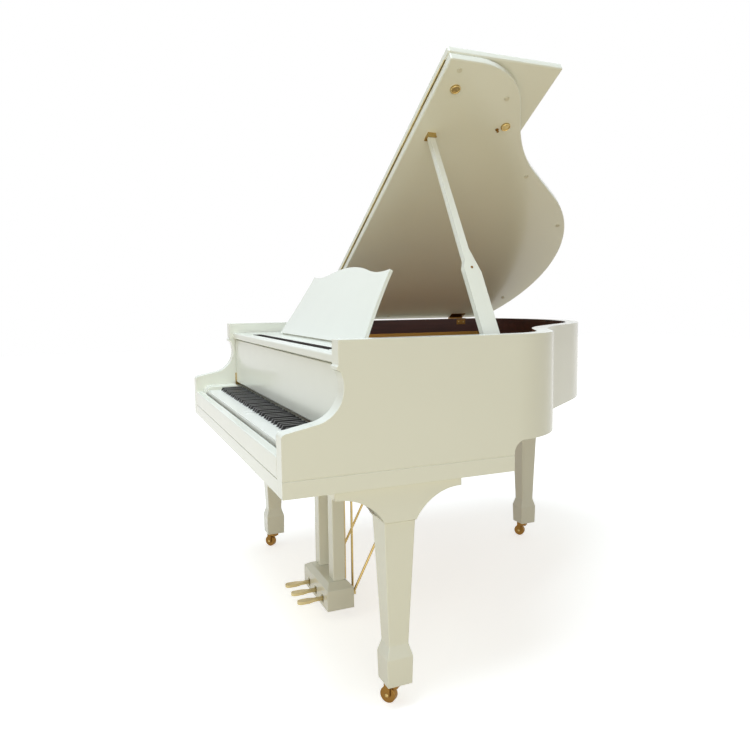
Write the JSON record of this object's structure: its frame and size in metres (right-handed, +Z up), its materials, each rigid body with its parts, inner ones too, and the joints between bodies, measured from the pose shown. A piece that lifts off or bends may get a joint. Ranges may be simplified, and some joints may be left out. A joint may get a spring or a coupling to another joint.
{
  "type": "baby grand piano",
  "caption": "White baby grand piano with propped lid, folded front flap, music desk, keyboard and action, pedal lyre and legs on brass casters; played seated at the keys.",
  "frame": {"origin": "on the floor, under the middle of the case's width, halfway along its length", "axes": "+Z up, -Y toward the player, +X toward the treble side"},
  "size_m": [1.5274, 1.5543, 1.8205],
  "materials": {
    "white_lacquer": "high gloss white lacquer over wood",
    "mahogany": "dark red-brown satin veneer",
    "beech": "bare hardwood",
    "spruce": "clear varnish",
    "gold_iron": "gold bronze lacquer",
    "brass": "polished",
    "steel_wire": "bright drawn wire",
    "copper_wire": "copper winding",
    "key_white": "gloss",
    "key_black": "satin black",
    "hammer_wood": "bare wood with felt head",
    "damper_black": "black stain with felt",
    "bumper_rubber": "matte"
  },
  "bodies": {
    "case": {"outer_rim": "white_lacquer", "inner_rim": "mahogany", "rim_braces": "beech", "soundboard": "spruce", "soundboard_ribs": "spruce", "iron_plate": "gold_iron", "plate_bolts": "brass", "pinblock": "beech", "long_bridge": "beech", "bass_bridge": "beech", "tuning_pins": "steel_wire", "plain_strings": "steel_wire", "bass_strings": "copper_wire", "keybed": "beech", "key_slip": "white_lacquer", "key_blocks": "white_lacquer", "front_stretcher": "white_lacquer", "fallboard_pivots": "brass", "tray_runners": "mahogany", "lid_hinge_rim_leaves": "brass", "prop_bracket": "brass", "leg_front_bass": "white_lacquer", "leg_front_treble": "white_lacquer", "leg_rear": "white_lacquer", "lyre_box": "white_lacquer", "lyre_posts": "white_lacquer", "lyre_braces": "brass"},
    "action": {"key_frame": "beech", "action_rails": "beech"},
    "white_key_group": {"white_keys": "key_white"},
    "black_key_group": {"black_keys": "key_black"},
    "white_hammer_group": {"white_hammers": "hammer_wood"},
    "black_hammer_group": {"black_hammers": "hammer_wood"},
    "damper_group": {"dampers": "damper_black"},
    "lid": {"main_lid": "white_lacquer", "lid_hinge_lid_leaves": "brass", "prop_cups": "brass", "lid_bumpers": "bumper_rubber", "flap_hinge_lid_leaf": "brass"},
    "flap": {"front_flap": "white_lacquer", "flap_hinge_flap_leaf": "brass"},
    "prop": {"lid_prop": "white_lacquer"},
    "short_prop": {"half_prop": "white_lacquer"},
    "tray": {"music_tray": "white_lacquer"},
    "desk": {"music_desk": "white_lacquer"},
    "desk_stay": {"desk_strut": "brass"},
    "key_cover": {"fallboard": "white_lacquer"},
    "pedal_soft_lever": {"pedal_soft": "brass"},
    "pedal_soft_pushrod": {"pedal_rod_soft": "brass"},
    "pedal_sostenuto_lever": {"pedal_sostenuto": "brass"},
    "pedal_sostenuto_pushrod": {"pedal_rod_sostenuto": "brass"},
    "pedal_damper_lever": {"pedal_damper": "brass"},
    "pedal_damper_pushrod": {"pedal_rod_damper": "brass"},
    "caster_front_bass_swivel": {"caster_fork_front_bass": "brass"},
    "caster_front_bass_roller": {"caster_wheel_front_bass": "brass"},
    "caster_front_treble_swivel": {"caster_fork_front_treble": "brass"},
    "caster_front_treble_roller": {"caster_wheel_front_treble": "brass"},
    "caster_rear_swivel": {"caster_fork_rear": "brass"},
    "caster_rear_roller": {"caster_wheel_rear": "brass"}
  },
  "joints": [
    {"name": "lid_hinge", "type": "hinge", "parent": "case", "child": "lid", "pos_m": [-0.753, 0, 1.002], "axis": [0, -1, 0], "range_deg": [0, 40]},
    {"name": "flap_hinge", "type": "hinge", "parent": "lid", "child": "flap", "pos_m": [-0.76734, -0.215, 1.02605], "axis": [0.859, 0, 0.512], "range_deg": [0, 179]},
    {"name": "prop_fold", "type": "hinge", "parent": "case", "child": "prop", "pos_m": [0.672, -0.153, 0.955], "axis": [0, -1, 0], "range_deg": [0, 57]},
    {"name": "half_prop_swing", "type": "hinge", "parent": "prop", "child": "short_prop", "pos_m": [0.65179, -0.153, 0.98952], "axis": [0, 1, 0], "range_deg": [0, 25]},
    {"name": "tray_slide", "type": "slide", "parent": "case", "child": "tray", "axis": [0, 1, 0], "range_m": [0, 0.07]},
    {"name": "desk_fold", "type": "hinge", "parent": "tray", "child": "desk", "pos_m": [0, -0.458, 0.9605], "axis": [1, 0, 0], "range_deg": [-55, 0]},
    {"name": "desk_strut_fold", "type": "hinge", "parent": "desk", "child": "desk_stay", "pos_m": [0, -0.38003, 1.08878], "axis": [1, 0, 0], "range_deg": [0, 113]},
    {"name": "fallboard_close", "type": "hinge", "parent": "case", "child": "key_cover", "pos_m": [0, -0.604, 0.765], "axis": [1, 0, 0], "range_deg": [0, 88]},
    {"name": "action_shift", "type": "slide", "parent": "case", "child": "action", "axis": [1, 0, 0], "range_m": [0, 0.0025]},
    {"name": "white_key_press", "type": "hinge", "parent": "action", "child": "white_key_group", "pos_m": [0, -0.535, 0.706], "axis": [1, 0, 0], "range_deg": [0, 2.6], "stiffness_Nm_per_rad": 20, "springref_deg": -3.44},
    {"name": "black_key_press", "type": "hinge", "parent": "action", "child": "black_key_group", "pos_m": [0, -0.535, 0.706], "axis": [1, 0, 0], "range_deg": [0, 2.6], "stiffness_Nm_per_rad": 20, "springref_deg": -3.44},
    {"name": "white_hammer_strike", "type": "hinge", "parent": "action", "child": "white_hammer_group", "pos_m": [0, -0.44, 0.828], "axis": [1, 0, 0], "range_deg": [0, 19.1]},
    {"name": "black_hammer_strike", "type": "hinge", "parent": "action", "child": "black_hammer_group", "pos_m": [0, -0.44, 0.828], "axis": [1, 0, 0], "range_deg": [0, 19.1]},
    {"name": "damper_lift", "type": "slide", "parent": "case", "child": "damper_group", "axis": [0, 0, 1], "range_m": [0, 0.006]},
    {"name": "soft_pedal_press", "type": "hinge", "parent": "case", "child": "pedal_soft_lever", "pos_m": [-0.08, -0.435, 0.061], "axis": [1, 0, 0], "range_deg": [0, 5], "stiffness_Nm_per_rad": 30, "springref_deg": -2.86},
    {"name": "soft_rod_lift", "type": "slide", "parent": "case", "child": "pedal_soft_pushrod", "axis": [0, 0, 1], "range_m": [0, 0.006]},
    {"name": "sostenuto_pedal_press", "type": "hinge", "parent": "case", "child": "pedal_sostenuto_lever", "pos_m": [0, -0.435, 0.061], "axis": [1, 0, 0], "range_deg": [0, 5], "stiffness_Nm_per_rad": 30, "springref_deg": -2.86},
    {"name": "sostenuto_rod_lift", "type": "slide", "parent": "case", "child": "pedal_sostenuto_pushrod", "axis": [0, 0, 1], "range_m": [0, 0.006]},
    {"name": "damper_pedal_press", "type": "hinge", "parent": "case", "child": "pedal_damper_lever", "pos_m": [0.08, -0.435, 0.061], "axis": [1, 0, 0], "range_deg": [0, 5], "stiffness_Nm_per_rad": 30, "springref_deg": -2.86},
    {"name": "damper_rod_lift", "type": "slide", "parent": "case", "child": "pedal_damper_pushrod", "axis": [0, 0, 1], "range_m": [0, 0.006]},
    {"name": "caster_front_bass_turn", "type": "hinge", "parent": "case", "child": "caster_front_bass_swivel", "pos_m": [-0.682, -0.466, 0.05], "axis": [0, 0, 1], "continuous": true},
    {"name": "caster_front_bass_roll", "type": "hinge", "parent": "caster_front_bass_swivel", "child": "caster_front_bass_roller", "pos_m": [-0.69754, -0.47859, 0.023], "axis": [0.6293, -0.7771, 0], "continuous": true},
    {"name": "caster_front_treble_turn", "type": "hinge", "parent": "case", "child": "caster_front_treble_swivel", "pos_m": [0.682, -0.466, 0.05], "axis": [0, 0, 1], "continuous": true},
    {"name": "caster_front_treble_roll", "type": "hinge", "parent": "caster_front_treble_swivel", "child": "caster_front_treble_roller", "pos_m": [0.66646, -0.47859, 0.023], "axis": [0.6293, -0.7771, 0], "continuous": true},
    {"name": "caster_rear_turn", "type": "hinge", "parent": "case", "child": "caster_rear_swivel", "pos_m": [-0.318, 0.618, 0.05], "axis": [0, 0, 1], "continuous": true},
    {"name": "caster_rear_roll", "type": "hinge", "parent": "caster_rear_swivel", "child": "caster_rear_roller", "pos_m": [-0.33354, 0.60541, 0.023], "axis": [0.6293, -0.7771, 0], "continuous": true}
  ],
  "couplings": [
    {"joint": "desk_strut_fold", "follows": "desk_fold", "ratio": -2.0455},
    {"joint": "white_hammer_strike", "follows": "white_key_press", "ratio": 7.3077},
    {"joint": "black_hammer_strike", "follows": "black_key_press", "ratio": 7.3077},
    {"joint": "soft_pedal_press", "follows": "action_shift", "rad_per_m": 34.9},
    {"joint": "soft_rod_lift", "follows": "action_shift", "ratio": 2.3732},
    {"joint": "damper_lift", "follows": "damper_pedal_press", "m_per_rad": 0.068},
    {"joint": "sostenuto_rod_lift", "follows": "sostenuto_pedal_press", "m_per_rad": 0.068},
    {"joint": "damper_rod_lift", "follows": "damper_pedal_press", "m_per_rad": 0.068}
  ]
}
